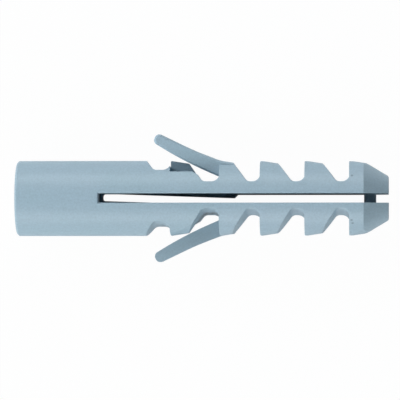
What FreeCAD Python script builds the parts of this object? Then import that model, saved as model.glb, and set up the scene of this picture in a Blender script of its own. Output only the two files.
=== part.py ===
"""Nylon expansion plug, 8 mm across and 40 mm long, moulded in one piece.

The plug's long axis is X, from the open mouth at X = 0 to the slotted tip.
It lies as it rests: the slot stands upright in the XZ plane and the two
anti-turn wings spread along +Y and -Y. Half a turn about X carries one leg,
with its teeth, its wing and the seat for that wing, onto the other.
Sizes are in millimetres and angles in degrees.
"""
import FreeCAD, Part
import math
import os

V = FreeCAD.Vector

# Barrel, from the mouth to the first pocket
barrel_radius = 4.05
barrel_length = 13.96
mouth_bevel = 0.2
leg_draft = 0.15
leg_draft_setback = 0.4

# Bore for the screw: a straight entry, then a taper that the screw spreads
bore_radius = 2.3
bore_lead_in = 0.35
bore_entry_length = 9.0
bore_taper_length = 14.5
bore_end_radius = 0.5

# Slot that parts the legs, upright through the axis
slot_start = 9.0
slot_width = 1.0
slot_edge_bevel = 0.12
slot_end_rounding = 0.25

# Narrow stretch of the slot in the lower wall
window_width = 0.74
window_lead = 1.6
window_length = 14.7
window_slope = 1.93
lower_wall_step = 0.08
window_end_angle = 45.0

# Teeth: pockets across each leg, seen in section along X
pocket_tilt = 5.28
slant_angle = 55.0
rise_radius = 0.87
rise_angle = 67.0
foot_rounding = 0.6
rim_rounding = 0.15
crown_slope = 8.8
crown_axis_depth = 2.2
crown_bevel = 0.1
shoulder_rounding = 0.3
shoulder_lift_angle = 6.0
shoulder_run = 0.35
first_floor_length = 0.6
first_pocket_depth = 1.27
floor_length = 0.2
pocket_depth = 2.6
seat_tooth_land = 1.98
wing_floor_length = 0.6
wing_tooth_land = 1.38
tooth_land = 1.84
plain_tooth_count = 2

# Tip: a blunt cone whose halves are joined by a thin web
tip_length = 4.25
cone_depth = 1.69
cone_angle = 31.9
tip_flat_setback = 2.79
tip_flat_slope = 20.0
tip_edge_bevel = 0.1
web_length = 1.31
web_setback = 1.34
web_height = 1.6
web_rounding = 0.3
web_overlap = 0.24

# Wings: springy arms that stop the plug from turning
wing_height = 1.84
wing_crown_reach = 0.13
wing_bend_reach = 2.75
wing_bend_angle = 21.0
wing_tip_reach = 4.07
wing_tip_angle = 25.7
wing_tip_width = 1.12
wing_outer_radius = 25.0
wing_crown_radius = 4.0
wing_tip_flat = 0.06
wing_root_width = 1.73
wing_inner_bow = 0.29
wing_edge_bevel = 0.2

# Seat that a wing folds into, in one side of the first tooth
seat_depth = 1.2
seat_rounding = 0.2
seat_end_slope = 30.0
seat_end_run = 0.4

# Room that a cutting solid reaches past the part
reach = 3.0

# Places tried along an edge to tell where it lies, and how far off it may be
edge_samples = 5
rim_tolerance = 1e-3
spot_tolerance = 1e-6

# Radii that follow from the sizes above
first_floor_radius = barrel_radius - first_pocket_depth
floor_radius = barrel_radius - pocket_depth
seat_floor_radius = barrel_radius - seat_depth
tip_end_radius = barrel_radius - cone_depth


def rad(degrees):
    """Angle in radians."""
    return math.radians(degrees)


def crown_radius(run):
    """Height of a tooth's crown, some way behind its steep wall."""
    return barrel_radius - run * math.tan(rad(crown_slope))


def pocket_length(shoulder, floor, flat):
    """Length of a pocket from a shoulder's corner to the next steep wall."""
    slant_run = (shoulder - floor) / math.tan(rad(slant_angle))
    foot_run = foot_rounding * math.tan(rad(slant_angle) / 2)
    return slant_run + foot_run + flat + rise_radius * math.sin(rad(rise_angle))


# Places along the axis that follow from the sizes above
first_wall = barrel_length + pocket_length(
    barrel_radius, first_floor_radius, first_floor_length
)
seat_tooth_end = first_wall + seat_tooth_land
wing_wall = seat_tooth_end + pocket_length(
    crown_radius(seat_tooth_land), floor_radius, wing_floor_length
)
wing_tooth_end = wing_wall + wing_tooth_land
next_wall = wing_tooth_end + pocket_length(
    crown_radius(wing_tooth_land), floor_radius, floor_length
)
tooth_pitch = tooth_land + pocket_length(
    crown_radius(tooth_land), floor_radius, floor_length
)
tip_wall = next_wall + plain_tooth_count * tooth_pitch
plug_length = tip_wall + tip_length


def half_turned(shape):
    """Copy of a shape turned half a turn about the plug's axis."""
    copy = shape.copy()
    copy.rotate(V(0, 0, 0), V(1, 0, 0), 180)
    return copy


def corner_arc(before, corner, after, radius):
    """Ends and middle of the arc that rounds a corner with a radius."""
    back = (before - corner).normalize()
    on = (after - corner).normalize()
    half = back.getAngle(on) / 2
    run = radius / math.tan(half)
    middle = (back + on).normalize()
    depth = radius / math.sin(half) - radius
    return corner + back * run, corner + middle * depth, corner + on * run


def rounded_wire(vertices):
    """Closed wire through (x, y, rounding) corners, in the XY plane."""
    places = [V(x, y, 0) for x, y, _ in vertices]
    edges = []
    starts = []
    ends = []
    for index, (_, _, radius) in enumerate(vertices):
        corner = places[index]
        if radius == 0:
            starts.append(corner)
            ends.append(corner)
            continue
        after = places[(index + 1) % len(places)]
        first, middle, last = corner_arc(places[index - 1], corner, after, radius)
        edges.append(Part.Arc(first, middle, last).toShape())
        starts.append(first)
        ends.append(last)
    for index, end in enumerate(ends):
        start = starts[(index + 1) % len(starts)]
        if end.distanceToPoint(start) > spot_tolerance:
            edges.append(Part.LineSegment(end, start).toShape())
    return Part.Wire(Part.__sortEdges__(edges))


def prism(vertices, low, high):
    """Solid with a rounded XY outline between two heights."""
    face = Part.Face(rounded_wire(vertices))
    face.translate(V(0, 0, low))
    return face.extrude(V(0, 0, high - low))


def bevelled(vertices):
    """Closed outline through (x, y, run) corners, each cut back by its own run."""
    places = [V(x, y, 0) for x, y, _ in vertices]
    outline = []
    for index, (_, _, run) in enumerate(vertices):
        corner = places[index]
        if run == 0:
            outline.append(corner)
            continue
        back = (places[index - 1] - corner).normalize()
        on = (places[(index + 1) % len(places)] - corner).normalize()
        outline += [corner + back * run, corner + on * run]
    return Part.makePolygon(outline + outline[:1])


def blank():
    """Turned outer form: barrel, drafted legs, then a blunt cone at the tip."""
    cone_run = (barrel_radius - tip_end_radius) / math.tan(rad(cone_angle))
    cone_start = plug_length - cone_run
    draft_start = barrel_length - leg_draft_setback
    narrowing = (cone_start - draft_start) * math.tan(rad(leg_draft))
    outline = [
        (0, 0, 0),
        (0, barrel_radius, mouth_bevel),
        (draft_start, barrel_radius, 0),
        (cone_start, barrel_radius - narrowing, 0),
        (plug_length, tip_end_radius, tip_edge_bevel),
        (plug_length, 0, 0),
    ]
    face = Part.Face(bevelled(outline))
    return face.revolve(V(0, 0, 0), V(1, 0, 0), 360)


def pocket_corners(start, wall, shoulder, floor):
    """Outline corners of one pocket, from a tooth's shoulder to the next wall."""
    slant_run = (shoulder - floor) / math.tan(rad(slant_angle))
    rise_run = rise_radius * math.sin(rad(rise_angle))
    rise_height = rise_radius * (1 - math.cos(rad(rise_angle)))
    bend = wall - rise_run + rise_radius * math.tan(rad(rise_angle) / 2)
    return [
        (start + slant_run, floor, foot_rounding),
        (bend, floor, rise_radius),
        (wall, floor + rise_height, 0),
    ]


def teeth():
    """Steep wall and land of each tooth before the tip."""
    rows = [(first_wall, seat_tooth_land), (wing_wall, wing_tooth_land)]
    for index in range(plain_tooth_count):
        rows.append((next_wall + index * tooth_pitch, tooth_land))
    return rows


def pocket_tools():
    """Cutting solids of the +Y leg's pockets, square to the pockets' own plane."""
    above = barrel_radius + reach
    shoulder = barrel_radius
    start = barrel_length
    floor = first_floor_radius
    tools = []
    for wall, land in teeth() + [(tip_wall, 0)]:
        lift = (above - shoulder) / math.tan(rad(slant_angle))
        corners = [(start - lift, above, 0)]
        corners += pocket_corners(start, wall, shoulder, floor)
        corners.append((wall, above, 0))
        tools.append(prism(corners, -above, above))
        shoulder = crown_radius(land)
        start = wall + land
        floor = floor_radius
    return tools


def crown_tool(wall, end):
    """What lies outside a cone that slopes one tooth's crown.

    The cone's axis runs below the plug's own, so the slope fades out toward
    the slot. A bevel breaks the crown's corner with the steep wall.
    """
    above = barrel_radius + reach
    section = Part.makePolygon([
        V(wall, barrel_radius - crown_bevel, 0),
        V(wall + crown_bevel, crown_radius(crown_bevel), 0),
        V(end, crown_radius(end - wall), 0),
        V(end, above, 0),
        V(wall, above, 0),
        V(wall, barrel_radius - crown_bevel, 0),
    ])
    return Part.Face(section).revolve(V(0, -crown_axis_depth, 0), V(1, 0, 0), 360)


def shoulder_tool(x, y):
    """Cutting solid that rounds the corner where a crown meets a slant."""
    above = barrel_radius + reach
    lift = rad(crown_slope + shoulder_lift_angle)
    slant = rad(slant_angle)
    corner = V(x, y, 0)
    down = corner + V(math.cos(slant), -math.sin(slant), 0)
    back = V(x - shoulder_run, y + shoulder_run * math.tan(lift), 0)
    first, middle, last = corner_arc(down, corner, back, shoulder_rounding)
    rest = Part.makePolygon([
        last,
        back,
        V(back.x, above, 0),
        V(x + shoulder_run, above, 0),
        V(x + shoulder_run, first.y, 0),
        first,
    ])
    arc = Part.Arc(first, middle, last).toShape()
    face = Part.Face(Part.Wire(Part.__sortEdges__([arc] + rest.Edges)))
    face.translate(V(0, 0, -above))
    return face.extrude(V(0, 0, 2 * above))


def tip_flat_tool():
    """Cutting solid that eases the corner between the tip's crown and its cone."""
    above = barrel_radius + reach
    start = plug_length - tip_flat_setback
    height = crown_radius(start - tip_wall)
    fall = (plug_length - start) * math.tan(rad(tip_flat_slope))
    rise_run = (above - height) / math.tan(rad(tip_flat_slope))
    corners = [
        (start - rise_run, above, 0),
        (plug_length, height - fall, 0),
        (plug_length, above, 0),
    ]
    return prism(corners, -above, above)


def crown_tools():
    """Cutting solids for the crowns and shoulders of the +Y leg."""
    tools = [shoulder_tool(barrel_length, barrel_radius)]
    for wall, land in teeth():
        slant_run = (crown_radius(land) - floor_radius) / math.tan(rad(slant_angle))
        tools.append(crown_tool(wall, wall + land + slant_run))
        tools.append(shoulder_tool(wall + land, crown_radius(land)))
    tools.append(crown_tool(tip_wall, plug_length))
    tools.append(tip_flat_tool())
    return tools


def on_both_legs(tools):
    """Tools tilted as the pockets are, with their copies for the other leg."""
    for tool in tools:
        tool.rotate(V(0, 0, 0), V(1, 0, 0), -pocket_tilt)
    return tools + [half_turned(tool) for tool in tools]


def is_rim(edge):
    """True where a pocket's slant, floor or rise breaks the turned form."""
    box = edge.BoundBox
    if box.XMin < barrel_length - rim_tolerance or box.XMax > tip_wall + rim_tolerance:
        return False
    legs_run = tip_wall - barrel_length + leg_draft_setback
    inside = barrel_radius - legs_run * math.tan(rad(leg_draft)) - rim_tolerance
    places = edge.discretize(edge_samples)
    run = max(place.x for place in places) - min(place.x for place in places)
    return run > spot_tolerance and all(math.hypot(place.y, place.z) > inside for place in places)


def toward(place, angle, run):
    """Place reached by going back along X by a run while rising at an angle."""
    return V(place.x - run, place.y + run * math.tan(rad(angle)), 0)


def wing():
    """Arm that leaves the second tooth and points back along the barrel."""
    crown = V(wing_wall + wing_crown_reach, crown_radius(wing_crown_reach), 0)
    foot = toward(crown, crown_slope, crown.x - wing_tooth_end - reach)
    bend = toward(crown, wing_bend_angle, wing_bend_reach)
    tip_outer = toward(bend, wing_tip_angle, wing_tip_reach)
    square = V(math.sin(rad(wing_tip_angle)), math.cos(rad(wing_tip_angle)), 0)
    tip_inner = tip_outer - square * wing_tip_width
    root = V(wing_wall, crown.y - wing_root_width, 0)
    chord = tip_inner - root
    inward = V(chord.y, -chord.x, 0).normalize() * -wing_inner_bow
    inner = (root + tip_inner) / 2 + inward
    tip_rounding = (wing_tip_width - wing_tip_flat) / 2
    corners = [
        (foot.x, root.y, 0),
        (root.x, root.y, 0),
        (inner.x, inner.y, bow_radius(chord.Length)),
        (tip_inner.x, tip_inner.y, tip_rounding),
        (tip_outer.x, tip_outer.y, tip_rounding),
        (bend.x, bend.y, wing_outer_radius),
        (crown.x, crown.y, wing_crown_radius),
        (foot.x, foot.y, 0),
    ]
    arm = prism(corners, 0, wing_height)
    outer = [e for e in arm.Edges if is_outer_top(e, bend, tip_inner)]
    return arm.makeChamfer(wing_edge_bevel, outer)


def bow_radius(chord):
    """Radius of a bow whose tangents meet at the middle of a chord."""
    run = chord / 2 - wing_tip_width
    return run * chord / 2 / wing_inner_bow


def is_outer_top(edge, bend, tip_inner):
    """True for the arm's upper edges along its outer side and its tip."""
    box = edge.BoundBox
    if box.ZMin < wing_height - spot_tolerance or box.XMin > wing_wall:
        return False
    middle = edge.valueAt((edge.FirstParameter + edge.LastParameter) / 2)
    reach_out = (bend - tip_inner).normalize()
    side = (middle - tip_inner).dot(V(-reach_out.y, reach_out.x, 0))
    return side > 0


def seat():
    """Cutting solid for the seat of the +Y leg's wing."""
    end = seat_tooth_end + (barrel_radius - floor_radius) / math.tan(rad(slant_angle))
    box = Part.makeBox(
        end - first_wall,
        barrel_radius + reach - seat_floor_radius,
        barrel_radius + reach,
        V(first_wall, seat_floor_radius, 0),
    )
    inner = [e for e in box.Edges if lies_on(e, seat_floor_radius, 0)]
    return box.makeFillet(seat_rounding, inner).fuse(seat_end(end))


def seat_end(end):
    """Cutting solid that eases the corner between the seat's floor and the slant."""
    above = barrel_radius + reach
    corner = end - (seat_floor_radius - floor_radius) / math.tan(rad(slant_angle))
    start = corner - seat_end_run
    run = end - start
    corners = [
        (start, seat_floor_radius, 0),
        (end, seat_floor_radius - run * math.tan(rad(seat_end_slope)), 0),
        (end, above, 0),
        (start, above, 0),
    ]
    return prism(corners, 0, above)


def lies_on(edge, y, z):
    """True for an edge along X at a given Y and Z."""
    box = edge.BoundBox
    spread = max(abs(box.YMin - y), abs(box.YMax - y), abs(box.ZMin - z), abs(box.ZMax - z))
    return spread < spot_tolerance


def bore():
    """Cutting solid for the screw's entry and its taper."""
    taper_end = bore_entry_length + bore_taper_length
    outline = [
        (-reach, 0, 0),
        (-reach, bore_radius + bore_lead_in, 0),
        (0, bore_radius + bore_lead_in, 0),
        (bore_lead_in, bore_radius, 0),
        (bore_entry_length, bore_radius, 0),
        (taper_end, bore_end_radius, 0),
        (taper_end + bore_end_radius, 0, 0),
    ]
    face = Part.Face(rounded_wire(outline))
    return face.revolve(V(0, 0, 0), V(1, 0, 0), 360)


def upright_box(start, end, width, low, high):
    """Box along X, centred on the slot's plane."""
    return Part.makeBox(end - start, width, high - low, V(start, -width / 2, low))


def slot():
    """Cutting solid for the slot, which starts narrow in the lower wall."""
    past = plug_length + reach
    above = barrel_radius + reach
    window_end = slot_start + window_length
    upper = upright_box(slot_start, past, slot_width, 0, above)
    half = slot_width / 2
    fall = (window_length - window_lead) * math.tan(rad(window_slope))
    full_run = (slot_width - window_width) / math.tan(rad(window_slope))
    chamfer = (fall - lower_wall_step) / math.tan(rad(window_end_angle))
    corners = [
        (slot_start, half, slot_end_rounding),
        (slot_start + window_lead, half, 0),
        (window_end - chamfer, half - fall, 0),
        (window_end, half - lower_wall_step, 0),
        (past, half - lower_wall_step, 0),
        (past, -half, 0),
        (slot_start + full_run, -half, 0),
        (slot_start, half - window_width, slot_end_rounding),
    ]
    lower = prism(corners, -above, 0)
    return upper.fuse(lower)


def slot_bevel():
    """Cutting solid that breaks the slot's long outer edges."""
    width = slot_width + 2 * slot_edge_bevel
    height = math.sqrt(barrel_radius ** 2 - (width / 2) ** 2)
    low = height - slot_edge_bevel
    section = Part.makePolygon([
        V(slot_start - slot_edge_bevel, -slot_width / 2, low),
        V(slot_start - slot_edge_bevel, slot_width / 2, low),
        V(slot_start - slot_edge_bevel, width / 2 + reach, height + reach),
        V(slot_start - slot_edge_bevel, -width / 2 - reach, height + reach),
        V(slot_start - slot_edge_bevel, -slot_width / 2, low),
    ])
    return Part.Face(section).extrude(V(plug_length, 0, 0))


def tip_web():
    """Thin bridge that holds the legs together across the slot's end."""
    end = plug_length - web_setback
    width = slot_width + 2 * web_overlap
    bridge = upright_box(end - web_length, end, width, -web_height / 2, web_height / 2)
    sides = [e for e in bridge.Edges if e.BoundBox.YLength > width / 2]
    return bridge.makeFillet(web_rounding, sides)


def plug_body():
    """The whole moulding."""
    pockets = on_both_legs(pocket_tools())
    crowns = on_both_legs(crown_tools())
    body = blank().cut(pockets)
    body = body.makeFillet(rim_rounding, [edge for edge in body.Edges if is_rim(edge)])
    body = body.cut(crowns)
    rest = seat()
    arm = wing().cut(pockets[2])
    body = body.cut([rest, half_turned(rest)])
    body = body.fuse([arm, half_turned(arm)])
    body = body.cut([slot(), slot_bevel(), half_turned(slot_bevel()), bore()])
    body = body.fuse(tip_web())
    return body.removeSplitter()


def main():
    """Write the moulding as one solid."""
    os.makedirs("parts", exist_ok=True)
    body = plug_body()
    solid = body.Solids[0]
    print("solids", len(body.Solids), "valid", solid.isValid(), "volume", solid.Volume)
    solid.exportStep("parts/plug_body.step")


main()
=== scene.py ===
"""Studio view of a one-piece nylon expansion plug, dressed around its CAD solid.

Lengths are in metres in the row frame: +X runs from the mouth to the tip,
+Z is up as the plug lies on its barrel, and the wings spread along +Y and -Y.
"""

import logging
import math
from dataclasses import dataclass, field
from enum import Enum

import bpy
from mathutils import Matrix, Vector

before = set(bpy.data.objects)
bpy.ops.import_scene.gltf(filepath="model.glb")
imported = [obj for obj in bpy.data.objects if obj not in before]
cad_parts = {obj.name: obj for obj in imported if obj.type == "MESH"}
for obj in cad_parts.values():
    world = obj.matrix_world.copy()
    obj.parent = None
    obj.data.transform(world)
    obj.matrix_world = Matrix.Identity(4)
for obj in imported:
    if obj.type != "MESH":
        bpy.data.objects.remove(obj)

MM = 0.001
LOG = logging.getLogger("expansion_plug")

Colour = tuple[float, float, float]


def linear(red: int, green: int, blue: int) -> Colour:
    """Turn a display colour into scene-linear light.

    Args:
        red: Red from 0 to 255.
        green: Green from 0 to 255.
        blue: Blue from 0 to 255.

    Returns:
        The same colour as linear values from 0 to 1.
    """
    def straight(level: int) -> float:
        """Undo the display curve of one channel."""
        share = level / 255
        return share / 12.92 if share <= 0.04045 else ((share + 0.055) / 1.055) ** 2.4

    return straight(red), straight(green), straight(blue)


class Side(Enum):
    """Where a softbox stands, as the direction from the plug to it."""

    MOUTH_FAR = (-1.0, 0.6, 0.75)
    MOUTH_NEAR = (-1.0, -0.6, 0.75)
    TIP = (1.0, -0.6, 0.75)
    FAR = (0.0, 1.0, 0.52)
    NEAR = (0.0, -1.0, 0.52)


class NodeSheet:
    """A material's node tree, filled one node at a time."""

    def __init__(self, name: str) -> None:
        """Start an empty material.

        Args:
            name: Name of the material.
        """
        self.material = bpy.data.materials.new(name)
        self.material.use_nodes = True
        self.tree = self.material.node_tree
        self.tree.nodes.clear()

    def add(self, kind: str, **sockets: object) -> bpy.types.Node:
        """Add a node and set or link its inputs by name.

        Args:
            kind: Type of the node.
            **sockets: Values, or output sockets, by input name with _ for a space.

        Returns:
            The new node.
        """
        node = self.tree.nodes.new(kind)
        for name, value in sockets.items():
            self.feed(node.inputs[name.replace("_", " ")], value)
        return node

    def feed(self, socket: bpy.types.NodeSocket, value: object) -> None:
        """Link an input to another node's output, or set it to a constant.

        Args:
            socket: Input to feed.
            value: Output socket, or the constant itself.
        """
        if isinstance(value, bpy.types.NodeSocket):
            self.tree.links.new(value, socket)
        else:
            socket.default_value = value

    def noise(self, place: bpy.types.NodeSocket, size: float, layers: float) -> bpy.types.NodeSocket:
        """Add a cloudy noise.

        Args:
            place: Coordinates that the noise is laid on.
            size: Size of its largest clouds, in the coordinates' own units.
            layers: How many times finer clouds are laid over them.

        Returns:
            Socket with the noise, from 0 to 1.
        """
        return self.add("ShaderNodeTexNoise", Vector=place, Scale=1 / size, Detail=layers).outputs["Fac"]

    def mix(self, share: bpy.types.NodeSocket, low: Colour, high: Colour) -> bpy.types.NodeSocket:
        """Mix two colours.

        Args:
            share: Share of the second colour, from 0 to 1.
            low: First colour.
            high: Second colour.

        Returns:
            The mixed colour's socket.
        """
        node = self.add("ShaderNodeMix")
        node.data_type = "RGBA"
        ends = [socket for socket in node.inputs if socket.type == "RGBA"]
        self.feed(node.inputs[0], share)
        self.feed(ends[0], (*low, 1))
        self.feed(ends[1], (*high, 1))
        return next(socket for socket in node.outputs if socket.type == "RGBA")

    def reckon(self, operation: str, *values: object) -> bpy.types.NodeSocket:
        """Work out one value from others.

        Args:
            operation: The math node's operation.
            *values: Output sockets or constants, in the node's own order.

        Returns:
            The result's socket.
        """
        node = self.add("ShaderNodeMath")
        node.operation = operation
        for socket, value in zip(node.inputs, values):
            self.feed(socket, value)
        return node.outputs["Value"]

    def reckon_place(self, operation: str, *values: object, **sockets: object) -> bpy.types.Node:
        """Work out a vector, or a length, from vectors.

        Args:
            operation: The vector math node's operation.
            *values: Output sockets or constants, in the node's own order.
            **sockets: Further inputs by name.

        Returns:
            The node.
        """
        node = self.add("ShaderNodeVectorMath")
        node.operation = operation
        for socket, value in zip(node.inputs, values):
            self.feed(socket, value)
        for name, value in sockets.items():
            self.feed(node.inputs[name], value)
        return node

    def spread(self, noise: bpy.types.NodeSocket, middle: float, share: float) -> bpy.types.NodeSocket:
        """Spread a noise around a middle value.

        Args:
            noise: Noise from 0 to 1.
            middle: Value at a noise of one half.
            share: Largest change either way.

        Returns:
            The spread value's socket.
        """
        return self.add(
            "ShaderNodeMapRange", Value=noise, To_Min=middle - share, To_Max=middle + share
        ).outputs["Result"]

    def fade(
        self, away: bpy.types.NodeSocket, width: float, near: float, far: float
    ) -> bpy.types.NodeSocket:
        """Blend softly from one value to another over a distance.

        Args:
            away: Distance.
            width: Distance at which the second value is reached.
            near: Value at no distance.
            far: Value beyond the width.

        Returns:
            The blended value's socket.
        """
        node = self.add("ShaderNodeMapRange", Value=away, From_Max=width, To_Min=near, To_Max=far)
        node.interpolation_type = "SMOOTHSTEP"
        return node.outputs["Result"]

    def finish(self, surface: bpy.types.NodeSocket) -> bpy.types.Material:
        """Send a shader to the output.

        Args:
            surface: Shader's output socket.

        Returns:
            The finished material.
        """
        self.add("ShaderNodeOutputMaterial", Surface=surface)
        return self.material


@dataclass(frozen=True)
class MouldedNylon:
    """Satin grey-blue nylon as it comes from the mould."""

    colour: Colour = linear(162, 180, 194)
    cool_colour: Colour = linear(156, 179, 190)
    plain_layers: float = 1.0
    soft_layers: float = 2.0
    fine_layers: float = 4.0
    cloud_size: float = 6.0 * MM
    streak_share: float = 0.04
    streak_length: float = 9.0 * MM
    streak_width: float = 0.5 * MM
    speckle_share: float = 0.13
    speckle_size: float = 0.2 * MM
    grain_size: float = 0.07 * MM
    grain_height: float = 0.004 * MM
    swell_size: float = 1.6 * MM
    swell_height: float = 0.01 * MM
    parting_width: float = 0.05 * MM
    parting_height: float = 0.012 * MM
    gate_marks: tuple[tuple[float, float, float], ...] = (
        (36.08, 2.4, 3.2),
        (36.04, -2.36, 3.22),
        (36.15, -2.7, 2.95),
    )
    gate_mark_radius: float = 0.22 * MM
    gate_mark_shade: float = 0.5
    roughness: float = 0.45
    roughness_spread: float = 0.08
    ior: float = 1.53

    def build(self) -> bpy.types.Material:
        """Make the material.

        Returns:
            The material for every nylon piece.
        """
        sheet = NodeSheet("nylon")
        place = sheet.add("ShaderNodeTexCoord").outputs["Object"]
        shader = sheet.add(
            "ShaderNodeBsdfPrincipled",
            Base_Color=self.tint(sheet, place),
            Roughness=self.gloss(sheet, place),
            Normal=self.relief(sheet, place),
            IOR=self.ior,
        )
        return sheet.finish(shader.outputs["BSDF"])

    def tint(self, sheet: NodeSheet, place: bpy.types.NodeSocket) -> bpy.types.NodeSocket:
        """Colour with soft clouds, flow streaks along the plug and fine speckles.

        Args:
            sheet: Material that is being filled.
            place: Object coordinates.

        Returns:
            Colour socket.
        """
        cloud = sheet.noise(place, self.cloud_size, self.soft_layers)
        base = sheet.mix(cloud, self.colour, self.cool_colour)
        stretch = (1 / self.streak_length, 1 / self.streak_width, 1 / self.streak_width)
        along = sheet.reckon_place("MULTIPLY", place, stretch).outputs["Vector"]
        streak = sheet.noise(along, 1.0, self.soft_layers)
        speckle = sheet.noise(place, self.speckle_size, self.plain_layers)
        streaks = sheet.spread(streak, 1.0, self.streak_share)
        speckles = sheet.spread(speckle, 1.0, self.speckle_share)
        level = sheet.reckon("MULTIPLY", streaks, speckles)
        for mark in self.gate_marks:
            away = sheet.reckon_place("DISTANCE", place, Vector(mark) * MM).outputs["Value"]
            nick = sheet.fade(away, self.gate_mark_radius, 1 - self.gate_mark_shade, 1.0)
            level = sheet.reckon("MULTIPLY", level, nick)
        return sheet.reckon_place("SCALE", base, Scale=level).outputs["Vector"]

    def gloss(self, sheet: NodeSheet, place: bpy.types.NodeSocket) -> bpy.types.NodeSocket:
        """Roughness that wanders a little, as a worn mould leaves it.

        Args:
            sheet: Material that is being filled.
            place: Object coordinates.

        Returns:
            Roughness socket.
        """
        patch = sheet.noise(place, self.swell_size, self.fine_layers)
        return sheet.spread(patch, self.roughness, self.roughness_spread)

    def relief(self, sheet: NodeSheet, place: bpy.types.NodeSocket) -> bpy.types.NodeSocket:
        """Sink waves, fine grain and the fine ridge of the mould's parting line.

        Args:
            sheet: Material that is being filled.
            place: Object coordinates.

        Returns:
            Normal socket.
        """
        swell = sheet.noise(place, self.swell_size, self.plain_layers)
        grain = sheet.noise(place, self.grain_size, self.soft_layers)
        height = sheet.add("ShaderNodeSeparateXYZ", Vector=place).outputs["Z"]
        ridge = sheet.fade(sheet.reckon("ABSOLUTE", height), self.parting_width, 1.0, 0.0)
        normal = None
        for level, depth in (
            (swell, self.swell_height),
            (grain, self.grain_height),
            (ridge, self.parting_height),
        ):
            bump = sheet.add("ShaderNodeBump", Height=level, Distance=depth, Strength=1.0)
            if normal is not None:
                sheet.feed(bump.inputs["Normal"], normal)
            normal = bump.outputs["Normal"]
        return normal


@dataclass(frozen=True)
class PaleFloor:
    """White table that shows as plain white and still takes a soft shadow."""

    colour: Colour = linear(228, 228, 228)
    own_light: float = 0.97
    mirrored_light: float = 0.25

    def build(self) -> bpy.types.Material:
        """Make the material.

        Returns:
            The floor's material.
        """
        sheet = NodeSheet("pale_floor")
        diffuse = sheet.add("ShaderNodeBsdfDiffuse", Color=(*self.colour, 1))
        glow = sheet.add("ShaderNodeEmission", Color=(1, 1, 1, 1), Strength=1.0)
        path = sheet.add("ShaderNodeLightPath")
        mirrored = sheet.reckon("MULTIPLY", path.outputs["Is Glossy Ray"], self.mirrored_light)
        share = sheet.reckon("MULTIPLY_ADD", path.outputs["Is Camera Ray"], self.own_light, mirrored)
        mix = sheet.add("ShaderNodeMixShader", Fac=share)
        sheet.feed(mix.inputs[1], diffuse.outputs["BSDF"])
        sheet.feed(mix.inputs[2], glow.outputs["Emission"])
        return sheet.finish(mix.outputs["Shader"])


@dataclass
class PlugBody:
    """The moulding itself, as the CAD solid gives it, in its nylon."""

    node: str = "plug_body"
    finish: MouldedNylon = field(default_factory=MouldedNylon)

    def dress(self) -> bpy.types.Object:
        """Give the CAD node its material.

        Returns:
            The dressed node.
        """
        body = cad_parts[self.node]
        body.data.materials.clear()
        body.data.materials.append(self.finish.build())
        LOG.info("%s: %d faces", body.name, len(body.data.polygons))
        return body


@dataclass(frozen=True)
class Softbox:
    """One square lamp that points at the plug's middle."""

    side: Side
    strength: float
    distance: float = 0.35
    width: float = 0.2
    colour: Colour = (1.0, 1.0, 1.0)

    def build(self, target: Vector) -> bpy.types.Object:
        """Hang the lamp.

        Args:
            target: Place that the lamp points at.

        Returns:
            The lamp.
        """
        data = bpy.data.lights.new("softbox_" + self.side.name.lower(), "AREA")
        data.shape = "SQUARE"
        data.size = self.width
        data.energy = self.strength * 4 * math.pi * self.distance ** 2
        data.color = self.colour
        lamp = bpy.data.objects.new(data.name, data)
        bpy.context.scene.collection.objects.link(lamp)
        toward = Vector(self.side.value).normalized()
        lamp.location = target + toward * self.distance
        lamp.rotation_euler = (-toward).to_track_quat("-Z", "Y").to_euler()
        return lamp


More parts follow.
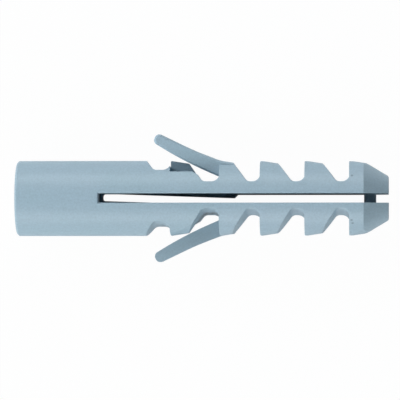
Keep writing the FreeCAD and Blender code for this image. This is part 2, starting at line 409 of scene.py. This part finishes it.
@dataclass
class Studio:
    """Floor, lamps, surroundings and camera."""

    floor_height: float = -4.05 * MM
    floor_width: float = 3.0
    middle: Vector = field(default_factory=lambda: Vector((20 * MM, 0, 0)))
    camera_place: Vector = field(default_factory=lambda: Vector((37.11, -5.5223, 369.9654)) * MM)
    camera_aim: Vector = field(default_factory=lambda: Vector((19.705, -0.1684, 0)) * MM)
    camera_lens: float = 309.24
    sensor_width: float = 36.0
    clip_start: float = 10 * MM
    clip_end: float = 10.0
    surroundings: float = 0.04
    lamps: tuple[Softbox, ...] = (
        Softbox(Side.MOUTH_FAR, 0.345, colour=(0.9, 0.95, 1.0)),
        Softbox(Side.MOUTH_NEAR, 0.4, colour=(0.95, 1.0, 1.0)),
        Softbox(Side.TIP, 0.07, colour=(0.8, 1.0, 1.0)),
        Softbox(Side.FAR, 0.43, colour=(0.89, 0.97, 1.0)),
        Softbox(Side.NEAR, 0.395, colour=(0.9, 0.96, 1.0)),
    )

    def build(self) -> None:
        """Set up everything that isn't the plug."""
        self.lay_floor()
        self.set_world()
        for lamp in self.lamps:
            lamp.build(self.middle)
        self.set_camera()
        LOG.info("studio: %d lamps", len(self.lamps))

    def lay_floor(self) -> None:
        """Lay the pale floor under the plug."""
        bpy.ops.object.select_all(action="DESELECT")
        bpy.ops.mesh.primitive_plane_add(size=self.floor_width, location=(0, 0, self.floor_height))
        floor = bpy.context.object
        floor.name = "floor"
        floor.data.materials.append(PaleFloor().build())

    def set_world(self) -> None:
        """Surround the plug with an even, pale light."""
        world = bpy.data.worlds.new("surroundings")
        bpy.context.scene.world = world
        world.use_nodes = True
        tree = world.node_tree
        tree.nodes.clear()
        path = tree.nodes.new("ShaderNodeLightPath")
        even = tree.nodes.new("ShaderNodeBackground")
        even.inputs["Strength"].default_value = self.surroundings
        white = tree.nodes.new("ShaderNodeBackground")
        mix = tree.nodes.new("ShaderNodeMixShader")
        out = tree.nodes.new("ShaderNodeOutputWorld")
        white.inputs["Color"].default_value = (1, 1, 1, 1)
        even.inputs["Color"].default_value = (1, 1, 1, 1)
        tree.links.new(path.outputs["Is Camera Ray"], mix.inputs[0])
        tree.links.new(even.outputs[0], mix.inputs[1])
        tree.links.new(white.outputs[0], mix.inputs[2])
        tree.links.new(mix.outputs[0], out.inputs["Surface"])

    def set_camera(self) -> None:
        """Place the camera almost straight above, as in the photograph."""
        data = bpy.data.cameras.new("camera")
        data.lens = self.camera_lens
        data.sensor_width = self.sensor_width
        data.clip_start = self.clip_start
        data.clip_end = self.clip_end
        camera = bpy.data.objects.new("camera", data)
        bpy.context.scene.collection.objects.link(camera)
        camera.location = self.camera_place
        back = (self.camera_place - self.camera_aim).normalized()
        right = Vector((0, 1, 0)).cross(back).normalized()
        up = back.cross(right)
        turn = camera.rotation_euler.to_matrix()
        turn.col[0], turn.col[1], turn.col[2] = right, up, back
        camera.rotation_euler = turn.to_euler()
        bpy.context.scene.camera = camera


def main() -> None:
    """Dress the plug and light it."""
    logging.basicConfig(level=logging.INFO)
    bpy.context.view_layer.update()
    PlugBody().dress()
    Studio().build()
    bpy.context.scene.view_settings.view_transform = "Standard"
    bpy.context.view_layer.update()


if __name__ == "__main__":
    main()
